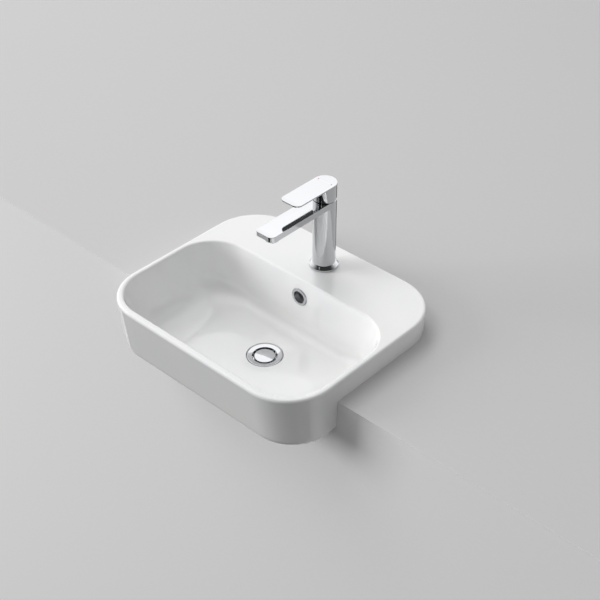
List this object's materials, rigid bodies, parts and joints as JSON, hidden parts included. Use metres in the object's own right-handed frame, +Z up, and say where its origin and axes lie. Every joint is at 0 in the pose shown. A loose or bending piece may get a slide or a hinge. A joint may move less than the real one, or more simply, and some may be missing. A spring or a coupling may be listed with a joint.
{
  "type": "semi recessed basin with mixer tap",
  "caption": "Semi recessed ceramic wash basin with a rounded rectangular bowl, a front skirt over the bench edge, a tall single lever mixer, an overflow and a push waste.",
  "frame": {"origin": "middle of the bench's front top edge, where the slab's underside meets the back of the front skirt, on the plane of symmetry", "axes": "+X to the user's right hand side when they face the basin from the front, +Y from the front edge to the back, +Z up"},
  "size_m": [0.4996, 0.4252, 0.396],
  "materials": {
    "china": "glossy white glaze",
    "chrome": "polished chrome plate",
    "rubber": "matt black rubber",
    "white_plastic": "moulded white plastic",
    "black_plastic": "moulded black plastic",
    "brass": "turned brass",
    "steel": "stainless steel",
    "disc_ceramic": "lapped alumina",
    "red_mark": "inlaid red dot",
    "blue_mark": "inlaid blue dot"
  },
  "bodies": {
    "basin": {"basin_body": "china", "overflow_ring": "chrome", "waste_body": "chrome", "waste_flange_seal": "rubber", "waste_lower_washer": "rubber", "waste_slip_washer": "white_plastic", "waste_back_nut": "brass", "click_cartridge": "black_plastic", "click_spring": "steel", "tap_body": "chrome", "tap_base_ring": "chrome", "tap_base_seal": "rubber", "tap_stud": "steel", "tap_horseshoe_pad": "rubber", "tap_horseshoe_plate": "steel", "tap_stud_nut": "brass", "aerator_ring": "chrome", "aerator_insert": "white_plastic", "aerator_seal": "rubber", "cartridge_housing": "white_plastic", "cartridge_port_seals": "rubber", "cartridge_fixed_disc": "disc_ceramic", "cartridge_nut": "brass"},
    "plug": {"plug_cap": "chrome", "plug_seal": "rubber", "plug_stem": "brass"},
    "carrier": {"cartridge_carrier": "black_plastic", "cartridge_pivot_pin": "steel"},
    "handle": {"lever": "chrome", "cartridge_spindle": "brass", "lever_grub_screw": "steel", "lever_screw_cap": "chrome", "hot_mark": "red_mark", "cold_mark": "blue_mark"},
    "disc": {"cartridge_moving_disc": "disc_ceramic", "cartridge_coupler": "black_plastic"}
  },
  "joints": [
    {"name": "plug_lift", "type": "slide", "parent": "basin", "child": "plug", "axis": [0, 0, 1], "range_m": [0, 0.008], "deforming": ["click_spring"]},
    {"name": "lever_turn", "type": "hinge", "parent": "basin", "child": "carrier", "pos_m": [0, 0.24, 0.207], "axis": [0, 0, 1], "range_deg": [-45, 45]},
    {"name": "lever_lift", "type": "hinge", "parent": "carrier", "child": "handle", "pos_m": [0, 0.24, 0.207], "axis": [-1, 0, 0], "range_deg": [0, 20]},
    {"name": "disc_slide", "type": "slide", "parent": "carrier", "child": "disc", "axis": [0, -1, 0], "range_m": [0, 0.00481]}
  ],
  "couplings": [
    {"joint": "disc_slide", "follows": "lever_lift", "m_per_rad": 0.013717}
  ]
}
